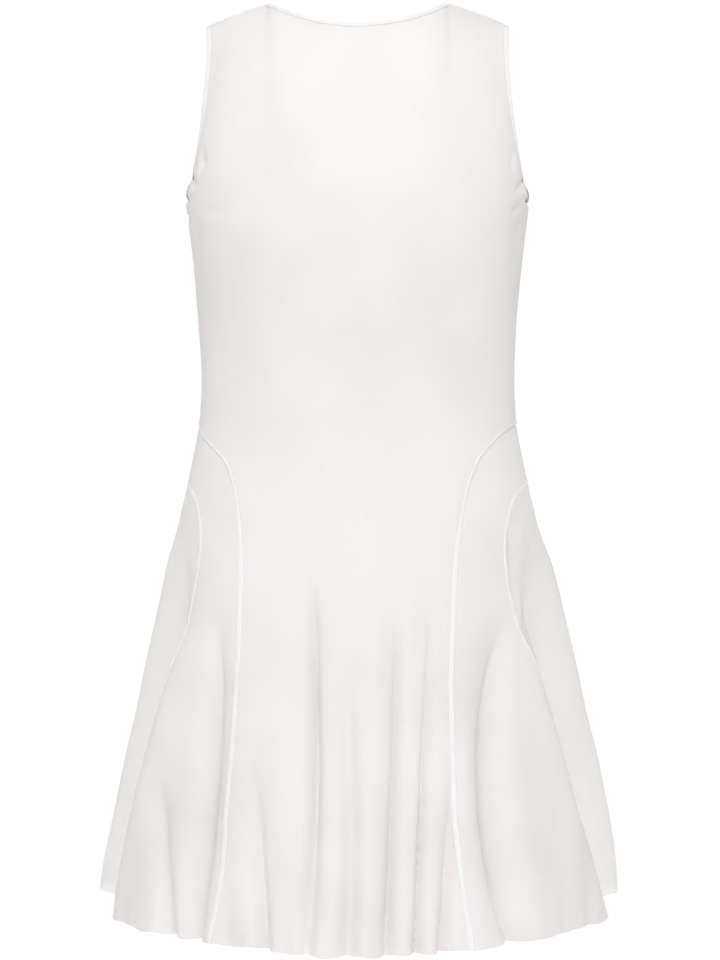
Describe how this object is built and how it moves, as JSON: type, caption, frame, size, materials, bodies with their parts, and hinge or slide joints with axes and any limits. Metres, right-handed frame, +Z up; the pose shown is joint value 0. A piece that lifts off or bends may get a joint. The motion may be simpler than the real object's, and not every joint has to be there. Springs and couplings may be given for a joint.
{
  "type": "sleeveless A-line mini dress",
  "caption": "Sheer mesh sleeveless swing mini dress with arched side panels and flared godets, shaped as worn, open at neck, armholes and hem.",
  "frame": {"origin": "between the wearer's shoulders, at the mean height of the two shoulder seams, where the dress is held up", "axes": "+Z up from the hem to the shoulders, +X to the wearer's right, +Y out of the front of the dress; the back faces -Y"},
  "size_m": [0.5164, 0.3369, 0.8601],
  "materials": {
    "mesh_cloth": "sheer fine knitted net, matt, warm white",
    "edge_binding": "the same net folded double, matt, denser white"
  },
  "bodies": {
    "root": {"back_panel": "mesh_cloth", "front_panel": "mesh_cloth", "side_panel_right": "mesh_cloth", "side_panel_left": "mesh_cloth", "godet_right": "mesh_cloth", "godet_left": "mesh_cloth", "neck_binding": "edge_binding", "armhole_binding_right": "edge_binding", "armhole_binding_left": "edge_binding"}
  },
  "joints": []
}
